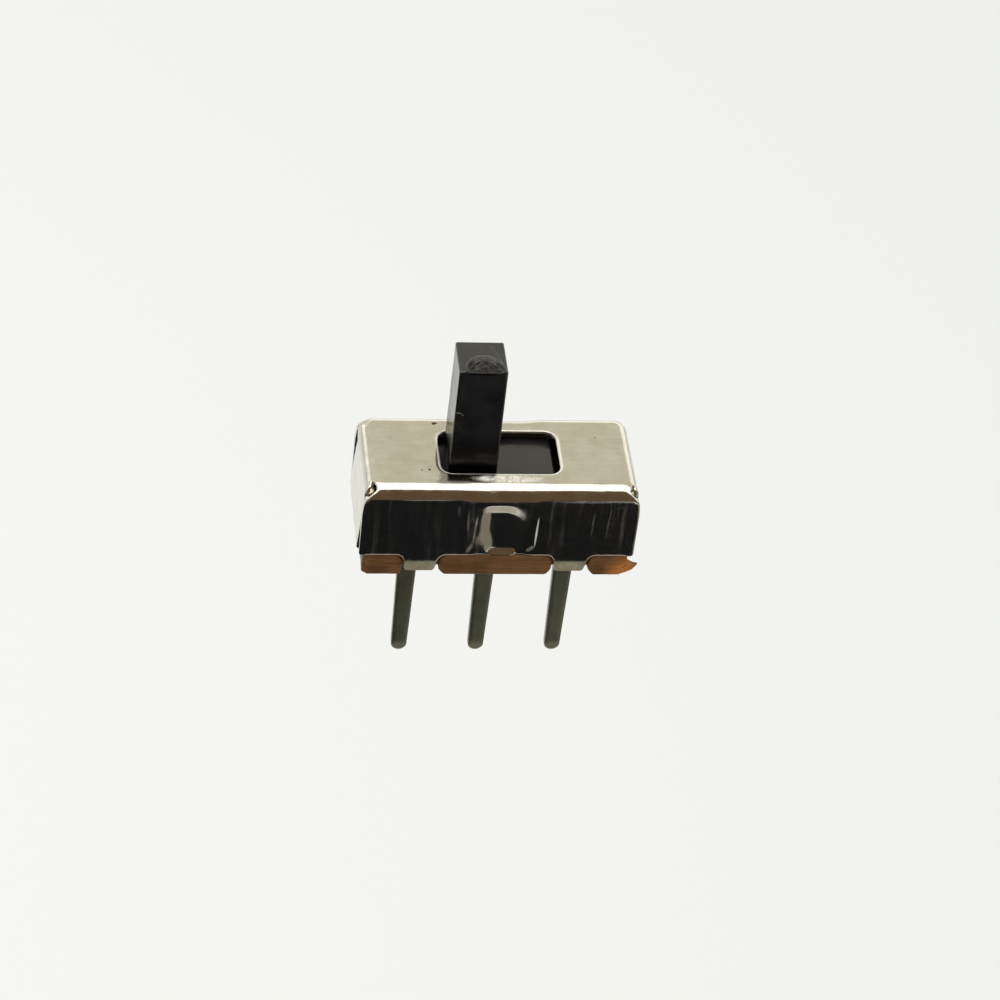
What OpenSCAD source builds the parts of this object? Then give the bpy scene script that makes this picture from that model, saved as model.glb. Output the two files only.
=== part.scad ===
// Miniature slide switch with three pins in a line, for a printed circuit board.
// Origin at the middle of the base board's underside, +X along the travel, +Z up the handle.
// A folded sheet cover is clawed onto a laminate base board. A moulded slider hangs in it and
// carries a sprung clip, which joins the middle contact blade to the left or to the right one.

/* [Cover] */
// Length of the cover, along the travel
body_l = 8.5; // [8.2:0.1:10.5]
// Width of the cover
body_w = 3.7; // [3.6:0.1:4.6]
// Height from the base board's underside to the top of the cover
body_h = 3.5; // [3.4:0.1:4.4]
// Thickness of the cover's sheet
sheet_t = 0.25; // [0.2:0.01:0.28]
// Outer radius of the cover's folds
fold_r = 0.5; // [0.4:0.05:0.6]
// Lean of the left end wall, which has sprung outward, in degrees
end_lean = 3; // [0:0.5:4]
// Step from the ends of the long walls to the faces of the end walls
wall_step = 0.02; // [0.01:0.01:0.15]
// Cut across the top corners of the long walls
corner_cut = 0.35; // [0.2:0.05:0.45]
// Gap of the open seam at each corner
seam_gap = 0.03; // [0.02:0.01:0.06]

/* [Window] */
// Length of the window that the handle travels in
window_l = 3.72; // [3.6:0.02:4]
// Width of the window
window_w = 1.97; // [1.8:0.01:2.1]
// Corner radius of the window
window_r = 0.38; // [0.2:0.02:0.6]

/* [Pressed panel] */
// Length of the hollow pressed into the middle of each long wall, at its mouth
press_l = 2.2; // [1.6:0.1:2.8]
// Height of the hollow at its mouth
press_h = 2.1; // [1.6:0.05:2.1]
// Depth of the hollow
press_d = 0.12; // [0.08:0.01:0.2]
// Run of the hollow's sloping edges
press_run = 0.35; // [0.25:0.05:0.5]

/* [Claws] */
// Distance of each claw from the middle of its wall
claw_x = 2.35; // [2:0.05:2.6]
// Width of a claw
claw_w = 1.06; // [0.8:0.02:1.2]
// Radius of the fillets at a claw's root
claw_root_r = 0.15; // [0.1:0.01:0.18]
// Height of the bend line above the base board's underside
claw_bend_z = 0.62; // [0.4:0.01:0.64]
// Angle that a claw's tip is bent inward
claw_bend = 15; // [8:1:20]
// Cut across the corners of a claw's tip
claw_tip_cut = 0.15; // [0.05:0.01:0.25]

/* [Base board] */
// Thickness of the base board
board_t = 0.8; // [0.7:0.05:1]
// How far the left end of the board lies inside the cover's left face
board_left_in = 0.08; // [0.04:0.01:0.15]
// How far the right end of the board lies inside the cover's right face
board_right_in = 0.05; // [0.02:0.01:0.1]
// Cut across the left corners of the board
board_left_cut = 0.15; // [0.05:0.01:0.2]
// Cut across the right corners of the board
board_right_cut = 0.25; // [0.1:0.01:0.3]
// Width of a claw's notch at the board's edge
claw_notch_w = 1.5; // [1.46:0.02:1.8]
// Narrowing of a claw's notch on each side, from mouth to floor
claw_notch_taper = 0.1; // [0.02:0.01:0.12]
// Reach of the burr left at the right end of the board's lowest layer
burr_reach = 0.38; // [0.1:0.02:0.4]
// Thickness of the burr
burr_t = 0.15; // [0.1:0.01:0.2]

/* [Slider] */
// Distance that the slider travels
travel = 1.75; // [1.6:0.05:2]
// Thickness of the handle at its root, both ways
handle_w = 1.52; // [1.3:0.02:1.6]
// Height of the handle's top above the cover
handle_h = 3.75; // [2:0.01:6]
// Draft on each side of the handle, in degrees
handle_draft = 0.25; // [0:0.05:1.5]
// Length of the slider's block inside the cover
block_l = 5.2; // [4.8:0.1:5.4]
// Width of the slider's block
block_w = 2.5; // [2.1:0.05:2.56]

/* [Contacts] */
// Distance between neighbouring pins
pitch = 2.5; // [2.4:0.05:2.6]
// Thickness of the terminals' sheet
pin_t = 0.3; // [0.2:0.02:0.4]
// Width of a pin where it leaves the board
pin_w = 0.64; // [0.5:0.02:0.7]
// Width of a pin near its tip
pin_tip_w = 0.5; // [0.3:0.02:0.54]
// Length of a pin below the board
pin_l = 4.9; // [2.5:0.1:6]
// Width of the contact blade that stands inside the cover
blade_w = 1.2; // [1:0.05:1.4]
// Height of the contact blade above the board
blade_h = 1.3; // [1.1:0.05:1.35]
// Rounding of the contact blade's upper corners
blade_r = 0.2; // [0.1:0.05:0.4]
// Thickness of the sprung clip's sheet
clip_t = 0.12; // [0.08:0.01:0.15]
// Length of the sprung clip
clip_l = 3.4; // [3.2:0.1:3.6]
// Distance of each wiping ridge from the clip's middle
ridge_x = 1.3; // [1.2:0.05:1.5]
// Height of the wiping ridges
ridge_h = 0.12; // [0.08:0.01:0.14]

/* [Clearances] */
// Between the slider's block and the underside of the cover
top_clear = 0.05; // [0.03:0.01:0.1]
// Between the slider's block and the base board
floor_clear = 0.15; // [0.1:0.01:0.25]
// Between the sides of the clip and the slider
clip_clear = 0.02; // [0.01:0.01:0.04]
// Between the wiping ridges and the contact blades
wipe_clear = 0.01; // [0.01:0.005:0.03]
// Between the clip's web and the tops of the contact blades
web_clear = 0.2; // [0.1:0.01:0.25]
// Around a pin in its slot in the board
slot_clear = 0.02; // [0.01:0.01:0.04]
// Between a claw's tip and the floor of its notch
claw_clear = 0.05; // [0.02:0.01:0.1]
// Between a claw's tip and the plane of the board's underside
claw_rise = 0.01; // [0:0.01:0.05]

/* [Hidden] */
$fn = 48;
// Overlap of shapes that are joined, and overshoot of shapes that are cut away
eps = 0.02;
cut = 1;
// Cover
wall_end = body_l / 2 - wall_step;
end_wall_w = body_w - 2 * (sheet_t + seam_gap);
fold_z = body_h - fold_r;
// The hollow's back stays clear of the board, with the overlap that joins it to the wall
press_z = board_t + eps + press_run * eps / press_d;
claw_tip_l = (claw_bend_z - claw_rise) / cos(claw_bend);
claw_depth = sheet_t * cos(claw_bend) + claw_tip_l * sin(claw_bend) + claw_clear;
// Slider, drawn at the left end of its travel
slider_x = -travel / 2;
block_top = body_h - sheet_t - top_clear;
block_z = board_t + floor_clear;
blade_top = board_t + blade_h;
clip_top = blade_top + web_clear + clip_t;
// Half of the space between the clip's legs, and half of the clip's outer width
clip_in = pin_t / 2 + ridge_h;
clip_out = clip_in + clip_t;
clip_r = 0.2;
channel_w = 2 * clip_in;

// Half the length of the pressed hollow at depth d, which shrinks down its sloping edges
function press_half(d) = press_l / 2 - press_run * d / press_d;

// A solid with the hollow's shape, from depth d0 to depth d1 behind the face y = 0
module press_form(d0, d1) {
    mid_z = press_z + press_h / 2;
    half_h = function(d) press_h / 2 - press_run * d / press_d;
    intersection() {
        linear_extrude(body_h)
            polygon([[-press_half(d0), -d0], [press_half(d0), -d0],
                     [press_half(d1), -d1], [-press_half(d1), -d1]]);
        rotate([90, 0, 90])
            linear_extrude(body_l, center = true)
                polygon([[-d0, mid_z - half_h(d0)], [-d0, mid_z + half_h(d0)],
                         [-d1, mid_z + half_h(d1)], [-d1, mid_z - half_h(d1)]]);
    }
}

// Section across a fold and its wall: x runs outward from the middle, y runs up
module fold_section(half, lean) {
    far = 2 * fold_r;
    intersection() {
        translate([half - fold_r, fold_z]) {
            intersection() {
                difference() {
                    circle(fold_r);
                    circle(fold_r - sheet_t);
                }
                polygon([[0, 0], far * [cos(lean), sin(lean)], far * [1, 1], [0, far]]);
            }
            rotate(lean)
                translate([fold_r - sheet_t, -body_h])
                    square([sheet_t, body_h]);
        }
        translate([0, board_t])
            square([body_l, body_h]);
    }
}

// A claw, hanging from the edge of a wall whose outer face is at y = 0
module claw() {
    half = claw_w / 2;
    root = half + claw_root_r;
    rotate([90, 0, 0])
        linear_extrude(sheet_t)
            difference() {
                translate([-root, claw_bend_z])
                    square([2 * root, board_t + eps - claw_bend_z]);
                for (s = [-1, 1]) {
                    translate([s * root, board_t - claw_root_r])
                        circle(claw_root_r);
                    translate([s * root - claw_root_r, claw_bend_z - cut])
                        square([2 * claw_root_r, board_t - claw_root_r - claw_bend_z + cut]);
                }
            }
    translate([0, 0, claw_bend_z])
        rotate([90 - claw_bend, 0, 0])
            linear_extrude(sheet_t)
                polygon([[-half, 0], [half, 0], [half, claw_tip_cut - claw_tip_l],
                         [half - claw_tip_cut, -claw_tip_l], [claw_tip_cut - half, -claw_tip_l],
                         [-half, claw_tip_cut - claw_tip_l]]);
}

// The long wall on the +Y side, with its fold, pressed hollow and claws
module long_wall() {
    difference() {
        union() {
            rotate([90, 0, 90])
                linear_extrude(2 * wall_end, center = true)
                    fold_section(body_w / 2, 0);
            translate([0, body_w / 2 - sheet_t, 0])
                press_form(-eps, press_d);
            for (s = [-1, 1])
                translate([s * claw_x, body_w / 2, 0])
                    claw();
        }
        translate([0, body_w / 2, 0])
            press_form(-cut * press_d, press_d);
        for (s = [-1, 1])
            scale([s, 1, 1]) {
                // The fold stops short of the corner, where the end wall's fold begins
                translate([body_l / 2 - fold_r, 0, fold_z - cut])
                    cube([cut, body_w / 2 - sheet_t, 2 * cut]);
                translate([wall_end - corner_cut, 0, body_h])
                    rotate([0, 45, 0])
                        cube([cut, body_w, cut]);
            }
    }
}

// The end wall on the +X side, with its fold
module end_wall(lean) {
    rotate([90, 0, 0])
        linear_extrude(end_wall_w, center = true)
            fold_section(body_l / 2, lean);
}

module rounded_plate(l, w, r, t) {
    linear_extrude(t) {
        square([l - 2 * r, w], center = true);
        square([l, w - 2 * r], center = true);
        for (x = [-1, 1], y = [-1, 1])
            translate([x * (l / 2 - r), y * (w / 2 - r)])
                circle(r);
    }
}

module cover() color([0.74, 0.72, 0.66]) {
    difference() {
        translate([0, 0, body_h - sheet_t / 2])
            cube([body_l - 2 * fold_r + eps, body_w - 2 * fold_r + eps, sheet_t], center = true);
        translate([0, 0, body_h - cut])
            rounded_plate(window_l, window_w, window_r, 2 * cut);
    }
    long_wall();
    mirror([0, 1, 0])
        long_wall();
    end_wall(0);
    mirror([1, 0, 0])
        end_wall(end_lean);
}

module base_board() color([0.43, 0.31, 0.18]) {
    left = -body_l / 2 + board_left_in;
    right = body_l / 2 - board_right_in;
    side = body_w / 2;
    mouth = claw_notch_w / 2;
    floor_half = mouth - claw_notch_taper;
    difference() {
        union() {
            linear_extrude(board_t)
                polygon([[left, board_left_cut - side], [left + board_left_cut, -side],
                         [right - board_right_cut, -side], [right, board_right_cut - side],
                         [right, side - board_right_cut], [right - board_right_cut, side],
                         [left + board_left_cut, side], [left, side - board_left_cut]]);
            linear_extrude(burr_t)
                polygon([[right - board_right_cut, -side],
                         [right + burr_reach, board_right_cut + burr_reach - side],
                         [right + burr_reach / 2, board_right_cut + burr_reach + burr_t - side],
                         [right - eps, board_right_cut + burr_reach + burr_t - side]]);
        }
        for (x = [-claw_x, claw_x], s = [-1, 1])
            translate([x, s * side, -cut])
                linear_extrude(board_t + 2 * cut)
                    polygon([[-mouth, s * cut], [mouth, s * cut], [mouth, 0],
                             [floor_half, -s * claw_depth], [-floor_half, -s * claw_depth],
                             [-mouth, 0]]);
        for (x = [-pitch, 0, pitch])
            translate([x, 0, board_t / 2])
                cube([pin_w + 2 * slot_clear, pin_t + 2 * slot_clear, board_t + 2 * cut], center = true);
    }
}

// A flat terminal: a contact blade that stands on the board, and a pin below it
module terminal() {
    tip_r = pin_tip_w / 2;
    color([0.5, 0.5, 0.45])
        rotate([90, 0, 0])
            linear_extrude(pin_t, center = true) {
                polygon([[-tip_r, tip_r - pin_l], [tip_r, tip_r - pin_l], [pin_w / 2, 0],
                         [pin_w / 2, board_t], [blade_w / 2, board_t],
                         [blade_w / 2, blade_top - blade_r], [-blade_w / 2, blade_top - blade_r],
                         [-blade_w / 2, board_t], [-pin_w / 2, board_t], [-pin_w / 2, 0]]);
                translate([blade_r - blade_w / 2, blade_top - 2 * blade_r])
                    square([blade_w - 2 * blade_r, 2 * blade_r]);
                for (s = [-1, 1])
                    translate([s * (blade_w / 2 - blade_r), blade_top - blade_r])
                        circle(blade_r);
                translate([0, tip_r - pin_l])
                    circle(tip_r);
            }
}

module terminal_left() translate([-pitch, 0, 0]) terminal();
module terminal_common() terminal();
module terminal_right() translate([pitch, 0, 0]) terminal();

// The slider: a handle and a block in one moulding, with a channel underneath
module slider() color([0.1, 0.1, 0.1])
    translate([slider_x, 0, 0]) {
        root = handle_w / 2;
        top = root - handle_h * tan(handle_draft);
        profile = [[-root, block_top - eps], [root, block_top - eps], [root, body_h],
                   [top, body_h + handle_h], [-top, body_h + handle_h], [-root, body_h]];
        intersection() {
            rotate([90, 0, 0])
                linear_extrude(2 * handle_w, center = true)
                    polygon(profile);
            rotate([90, 0, 90])
                linear_extrude(2 * handle_w, center = true)
                    polygon(profile);
        }
        difference() {
            translate([-block_l / 2, -block_w / 2, block_z])
                cube([block_l, block_w, block_top - block_z]);
            translate([0, 0, block_z])
                cube([block_l + cut, channel_w, 2 * (clip_top - block_z)], center = true);
            translate([0, 0, block_z])
                cube([clip_l + 2 * clip_clear, 2 * (clip_out + clip_clear), 2 * (clip_top - block_z)],
                     center = true);
        }
    }

// The sprung clip: a channel of thin sheet whose legs straddle two neighbouring blades
module contact_clip() color([0.72, 0.5, 0.3])
    translate([slider_x, 0, 0]) {
        foot = block_z + 0.05;
        rotate([90, 0, 90])
            linear_extrude(clip_l, center = true)
                difference() {
                    union() {
                        translate([-clip_out, foot])
                            square([2 * clip_out, clip_top - clip_r - foot]);
                        translate([clip_r - clip_out, foot])
                            square([2 * (clip_out - clip_r), clip_top - foot]);
                        for (s = [-1, 1])
                            translate([s * (clip_out - clip_r), clip_top - clip_r])
                                circle(clip_r);
                    }
                    translate([-clip_in, foot - cut])
                        square([2 * clip_in, clip_top - clip_t - foot + cut]);
                }
        for (x = [-ridge_x, ridge_x], s = [-1, 1])
            translate([x, s * clip_in, foot])
                cylinder(h = clip_top - clip_t - foot, r = ridge_h - wipe_clear);
    }

cover();
base_board();
slider();
contact_clip();
terminal_left();
terminal_common();
terminal_right();
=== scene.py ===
"""The looks of a miniature slide switch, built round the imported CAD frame.

Lengths are in millimetres up to the mesh builder, which turns them into metres.
"""
import math

import bpy
from mathutils import Matrix, Vector, noise
from mathutils.geometry import delaunay_2d_cdt


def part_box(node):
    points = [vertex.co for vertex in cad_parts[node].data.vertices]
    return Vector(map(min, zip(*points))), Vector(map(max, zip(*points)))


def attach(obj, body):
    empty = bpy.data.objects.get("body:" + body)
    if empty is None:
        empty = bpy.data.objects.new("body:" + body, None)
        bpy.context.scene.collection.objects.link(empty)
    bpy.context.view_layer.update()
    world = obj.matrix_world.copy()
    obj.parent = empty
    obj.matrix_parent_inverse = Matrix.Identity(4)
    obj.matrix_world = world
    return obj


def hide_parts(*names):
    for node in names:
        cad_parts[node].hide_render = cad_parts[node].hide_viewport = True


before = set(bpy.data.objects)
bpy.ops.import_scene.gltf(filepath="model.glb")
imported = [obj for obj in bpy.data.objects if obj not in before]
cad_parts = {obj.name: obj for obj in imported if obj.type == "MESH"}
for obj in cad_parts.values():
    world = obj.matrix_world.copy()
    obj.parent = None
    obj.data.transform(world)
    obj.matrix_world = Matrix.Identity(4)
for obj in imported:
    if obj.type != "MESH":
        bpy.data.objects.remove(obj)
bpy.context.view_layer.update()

MM = 0.001


# ---------------------------------------------------------------- sizes read from the frame

def box_mm(node):
    """A CAD node's low and high corners, in millimetres."""
    low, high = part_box(node)
    return low / MM, high / MM


COVER_HIGH = box_mm("cover")[1]
BOARD_LOW, BOARD_HIGH = box_mm("base_board")
SLIDER_LOW, SLIDER_HIGH = box_mm("slider")
CLIP_LOW, CLIP_HIGH = box_mm("contact_clip")
TERMINALS = ("terminal_left", "terminal_common", "terminal_right")
PIN_PLACES = [sum(corner.x for corner in box_mm(node)) / 2 for node in TERMINALS]
PIN_LOW = box_mm("terminal_common")[0].z
BLADE_TOP = box_mm("terminal_common")[1].z

HALF_L = COVER_HIGH.x            # the right end wall's face; the left one leans outward
HALF_W = COVER_HIGH.y
TOP = COVER_HIGH.z
BOARD_T = BOARD_HIGH.z
SLIDER_X = (SLIDER_LOW.x + SLIDER_HIGH.x) / 2
HANDLE_TOP = SLIDER_HIGH.z

# The folded sheet, as in the CAD source
SHEET_T = 0.25
FOLD_R = 0.5
END_LEAN = math.radians(3)
END_SINK = 0.014                 # mean depth of the end walls' unevenness
WALL_END = HALF_L - 0.02         # ends of the long walls, and how far they flare at the bottom
WALL_FLARE = 0.07
END_HALF = HALF_W - SHEET_T - 0.03
SHEET_CORNER = 0.09              # corner radius at the walls' lower ends
EDGE_ROLL = 0.07                 # rounding that punching leaves on the outer edges,
WALL_ROLL = 0.03                 # at the long walls' ends
BACK_ROLL = 0.015                # and on the inner side of the sheet
WINDOW = (3.72, 1.97, 0.38)      # length, width, corner radius
WINDOW_ROLL = (0.18, 0.085)      # width and drop of the sunken rim round the window
PRESS_D = 0.12                   # depth of the hollow pressed into each long wall
PRESS_LEFT = -1.05               # the hollow's mouth, and its low and high edges
PRESS_RIGHT = 1.15
PRESS_LOW = BOARD_T + 0.01
PRESS_HIGH = BOARD_T + 2.15
DENT = 0.035                     # how far the press drew the top's edges down, from DENT_START on,
DENT_START = 1.04                # and the wall above the hollow inward
PULL = 0.04
CLAW_X = 2.35
CLAW_HALF = 0.53
CLAW_TIP_HALF = 0.47
CLAW_BEND_Z = 0.62
CLAW_BEND = math.radians(15)
CLAW_BEND_R = 0.12
CLAW_TIP = 0.61                  # length past the bend, and the cut at the tip's corners
CLAW_CUT = 0.10
CLAW_FILLET = (0.26, 0.30)       # the long fillet from the wall's edge: across and down
NOTCH_MOUTH = 0.58               # half width of a claw's notch in the board, and its depth
NOTCH_FLOOR = 0.55
NOTCH_DEPTH = 0.45
BOARD_END = HALF_L - 0.05        # the board's right end, and the cuts at its corners
BOARD_CUTS = (0.15, 0.25)
BOARD_EDGE = 0.06
SLOT_GAP = 0.02
PIN_HALF = 0.32
PIN_TIP_HALF = 0.25
PIN_T = 0.3
BLADE_HALF = 0.6
BLADE_CORNER = 0.2
HANDLE_HALF = 0.76               # half thickness of the handle where it leaves the cover
HANDLE_DRAFT = math.tan(math.radians(0.25))
HANDLE_EDGE = 0.06
HANDLE_SINK = 0.022              # how far the handle's sides have shrunk in
GATE_X = 0.05                    # the middle of the torn gate, from the handle's middle
BLOCK_TOP = TOP - SHEET_T - 0.05
CHANNEL_HALF = 0.27              # the channel under the block, its wider middle and its ceiling
POCKET_HALF = 0.41
POCKET_END = 1.72
CHANNEL_TOP = BOARD_T + 1.62
CLIP_T = 0.12
RIDGE_X = 1.3                    # the clip's ridges: place on each side of its middle, and height
RIDGE_H = 0.11


# ---------------------------------------------------------------- mesh helpers

SHARP_ANGLE = math.radians(35)   # edges that turn more than this are shaded as edges
TINY = 1e-6


def make_mesh(name, points, faces, body, material, node):
    """A new piece from points in millimetres, riding on a body and standing for a CAD node."""
    mesh = bpy.data.meshes.new(name)
    mesh.from_pydata([Vector(p) * MM for p in points], [], faces)
    mesh.validate()
    mesh.polygons.foreach_set("use_smooth", [True] * len(mesh.polygons))
    mesh.set_sharp_from_angle(angle=SHARP_ANGLE)
    mesh.materials.append(material)
    piece = bpy.data.objects.new(name, mesh)
    bpy.context.scene.collection.objects.link(piece)
    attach(piece, body)
    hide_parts(node)


def arc(cx, cy, r, start, end, steps):
    """Points on an arc, both ends included; angles in degrees."""
    out = []
    for i in range(steps + 1):
        a = math.radians(start + (end - start) * i / steps)
        out.append((cx + r * math.cos(a), cy + r * math.sin(a)))
    return out


def refine(loop, step):
    """The closed loop again, with no two neighbours further apart than step."""
    out = []
    for (ax, ay), (bx, by) in zip(loop, loop[1:] + loop[:1]):
        length = math.hypot(bx - ax, by - ay)
        if length < TINY:
            continue
        n = max(1, math.ceil(length / step))
        out += [(ax + (bx - ax) * i / n, ay + (by - ay) * i / n) for i in range(n)]
    return out


def offset(loop, distance):
    """The loop moved to its left by distance, mitred at its corners up to twice as far."""
    out = []
    n = len(loop)
    for i in range(n):
        before, here, after = Vector(loop[i - 1]), Vector(loop[i]), Vector(loop[(i + 1) % n])
        a, b = (here - before).normalized(), (after - here).normalized()
        left_of_a, left_of_b = Vector((-a.y, a.x)), Vector((-b.y, b.x))
        middle = left_of_a + left_of_b
        middle = left_of_a if middle.length < TINY else middle.normalized()
        reach = distance / max(0.5, middle.dot(left_of_a))
        out.append((here.x + middle.x * reach, here.y + middle.y * reach))
    return out


def inside(loop, x, y):
    """Whether a point lies in a closed loop."""
    hit = False
    for (ax, ay), (bx, by) in zip(loop, loop[1:] + loop[:1]):
        if (ay > y) != (by > y) and x < ax + (y - ay) * (bx - ax) / (by - ay):
            hit = not hit
    return hit


def triangulate(outer, holes, rings, grid, hole_rings=None):
    """Triangles that fill a flat outline, with rings of points along each edge and a grid within.

    outer runs anticlockwise and holes clockwise, so the sheet is on the left of both. rings holds
    the rings' distances from the edge, and hole_rings those at the holes, where they differ.
    Returns the points, each point's distance from the edge (or None within), and the triangles.
    """
    points, edges, depth = [], [], []
    hole_rings = hole_rings or rings
    for loop in [outer, *holes]:
        for d in (0.0, *(rings if loop is outer else hole_rings)):
            moved = offset(loop, d) if d else loop
            first = len(points)
            points += moved
            depth += [d] * len(moved)
            edges += [(first + i, first + (i + 1) % len(moved)) for i in range(len(moved))]
    margin = 0.4 * grid
    field = offset(outer, max(rings) + margin)
    blocked = [offset(hole, max(hole_rings) + margin) for hole in holes]
    xs = [p[0] for p in outer]
    ys = [p[1] for p in outer]
    rows = int((max(ys) - min(ys)) / grid) + 1
    cols = int((max(xs) - min(xs)) / grid) + 1
    for j in range(rows):
        y = min(ys) + grid * (j + 0.5)
        for i in range(cols):
            x = min(xs) + grid * (i + (0.25 if j % 2 else 0.75))
            if inside(field, x, y) and not any(inside(hole, x, y) for hole in blocked):
                points.append((x, y))
                depth.append(None)
    made = delaunay_2d_cdt([Vector(p) for p in points], edges, [], 0, 1e-7)
    verts, triangles, source = made[0], made[2], made[3]
    kept = []
    for t in triangles:
        cx = sum(verts[i].x for i in t) / 3
        cy = sum(verts[i].y for i in t) / 3
        if inside(outer, cx, cy) and not any(inside(h, cx, cy) for h in holes):
            kept.append(tuple(t))
    used = sorted({i for t in kept for i in t})
    renumber = {old: new for new, old in enumerate(used)}
    flat = [(verts[i].x, verts[i].y) for i in used]
    known = [min((depth[s] for s in source[i] if depth[s] is not None), default=None) for i in used]
    return flat, known, [tuple(renumber[i] for i in t) for t in kept]


def border(triangles):
    """The directed edges that only one triangle has."""
    edges = {(t[i], t[(i + 1) % 3]) for t in triangles for i in range(3)}
    return [(a, b) for a, b in edges if (b, a) not in edges]


def roll(d, r):
    """How far a face has dropped at distance d from its edge, which is rounded to radius r."""
    if d is None or d >= r:
        return 0.0
    return r - math.sqrt(r ** 2 - (r - d) ** 2)


def smooth(t):
    """An even rise from 0 at 0 to 1 at 1, flat on both sides."""
    t = min(1.0, max(0.0, t))
    return t * t * (3 - 2 * t)


def bell(t):
    """A smooth hump, 1 at 0 and nearly nothing past 2."""
    return math.exp(-t * t)


def wave(x, y, z, scale, seed=0.0):
    """Smooth noise between about -1 and 1; a larger scale makes finer waves."""
    return noise.noise(Vector((x * scale + seed, y * scale - seed, z * scale)))


def slab(outline, holes, rings, grid, rows, place, hole_rings=None):
    """A closed solid over a flat outline.

    place(x, y, d, t) gives a point in space: d is its distance from the outline, or None within,
    and t runs from 0 on the first face, down the sides in rows, to 1 on the second face.
    """
    flat, depth, triangles = triangulate(outline, holes, rings, grid, hole_rings)
    count = len(flat)
    points = [place(x, y, d, 0.0) for (x, y), d in zip(flat, depth)]
    points += [place(x, y, d, 1.0) for (x, y), d in zip(flat, depth)]
    faces = list(triangles)
    faces += [(c + count, b + count, a + count) for a, b, c in triangles]
    columns = {}
    rim = border(triangles)
    for i in sorted({i for edge in rim for i in edge}):
        first = len(points)
        points += [place(*flat[i], 0.0, (k + 1) / (rows + 1)) for k in range(rows)]
        columns[i] = [i, *range(first, first + rows), i + count]
    for a, b in sorted(rim):
        for k in range(rows + 1):
            faces.append((columns[b][k], columns[a][k], columns[a][k + 1], columns[b][k + 1]))
    return points, faces


def loft(loops):
    """A closed solid through loops of equally many points, which run anticlockwise seen from its end."""
    n = len(loops[0])
    points = [p for loop in loops for p in loop]
    faces = [tuple(range(n))[::-1], tuple(range(len(points) - n, len(points)))]
    for k in range(len(loops) - 1):
        for i in range(n):
            j = (i + 1) % n
            faces.append((k * n + i, k * n + j, (k + 1) * n + j, (k + 1) * n + i))
    return points, faces


def together(*solids):
    """Several solids as one list of points and faces."""
    points, faces = [], []
    for more_points, more_faces in solids:
        first = len(points)
        points += more_points
        faces += [tuple(i + first for i in face) for face in more_faces]
    return points, faces


# ---------------------------------------------------------------- the cover, folded from a flat blank

FOLD_X = HALF_L - FOLD_R         # where the end folds start on the blank
FOLD_Y = HALF_W - FOLD_R         # where the long folds start
ARC = FOLD_R * math.pi / 2       # the outer length of a fold
EDGE_V = FOLD_Y + ARC + (TOP - FOLD_R - BOARD_T)
EDGE_U = FOLD_X + ARC + (TOP - FOLD_R - BOARD_T)
TIP_V = EDGE_V + (BOARD_T - CLAW_BEND_Z) + CLAW_TIP


def quarter_outline(bite):
    """A quarter of the blank's outline, from the end wall's lower edge to the long wall's middle.

    bite is how far the corner relief reaches in from the corner of the folds.
    """
    points = [(EDGE_U, 0.0)]
    points += arc(EDGE_U - SHEET_CORNER, END_HALF - SHEET_CORNER, SHEET_CORNER, 0, 90, 5)
    points += [(FOLD_X + 0.70, END_HALF), (FOLD_X + 0.46, END_HALF - 0.03)]
    points += corner_relief(FOLD_X + 0.41 - bite, FOLD_Y + 0.16 - bite)
    points += [(WALL_END - 0.10, FOLD_Y + 0.64), (WALL_END - 0.02, FOLD_Y + 0.74),
               (WALL_END, FOLD_Y + 0.86)]
    points += arc(WALL_END - SHEET_CORNER, EDGE_V - SHEET_CORNER, SHEET_CORNER, 0, 90, 5)
    points += claw_side()
    points += [(2 * CLAW_X - u, v) for u, v in reversed(claw_side())]
    return points + [(0.0, EDGE_V)]


def corner_relief(x, y):
    """The cut between two folds: round at its apex, then bulging along the long wall's fold."""
    points = [(x + 0.05, y + 0.04)]
    points += arc(x, y, 0.05, -10, -170, 6)
    return points + [(x - 0.12, y + 0.14), (x - 0.16, y + 0.24), (x - 0.12, y + 0.34)]


def claw_side():
    """The right side of a claw: a long fillet from the wall's edge, then a narrowing tip."""
    points = []
    steps = 8
    for i in range(steps + 1):
        a = math.radians(90 * i / steps)
        points.append((CLAW_X + CLAW_HALF + CLAW_FILLET[0] * (1 - math.sin(a)),
                       EDGE_V + CLAW_FILLET[1] * (1 - math.cos(a))))
    tip = CLAW_X + CLAW_TIP_HALF
    return points + [(tip, TIP_V - CLAW_CUT), (tip - 0.3 * CLAW_CUT, TIP_V - 0.3 * CLAW_CUT),
                     (tip - CLAW_CUT, TIP_V)]


def blank_outline():
    """The whole blank, anticlockwise; the corner reliefs bite deeper on the left."""
    left, right = quarter_outline(0.1), quarter_outline(0.03)
    left_back = [(-u, v) for u, v in reversed(left[:-1])]
    left_front = [(-u, -v) for u, v in left[1:]]
    right_front = [(u, -v) for u, v in reversed(right[1:-1])]
    return right + left_back + left_front + right_front


def rounded_rectangle(length, width, r, steps=8):
    """Clockwise, as a hole is."""
    x, y = length / 2 - r, width / 2 - r
    loop = (arc(x, y, r, 0, 90, steps) + arc(-x, y, r, 90, 180, steps)
            + arc(-x, -y, r, 180, 270, steps) + arc(x, -y, r, 270, 360, steps))
    return loop[::-1]


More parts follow.
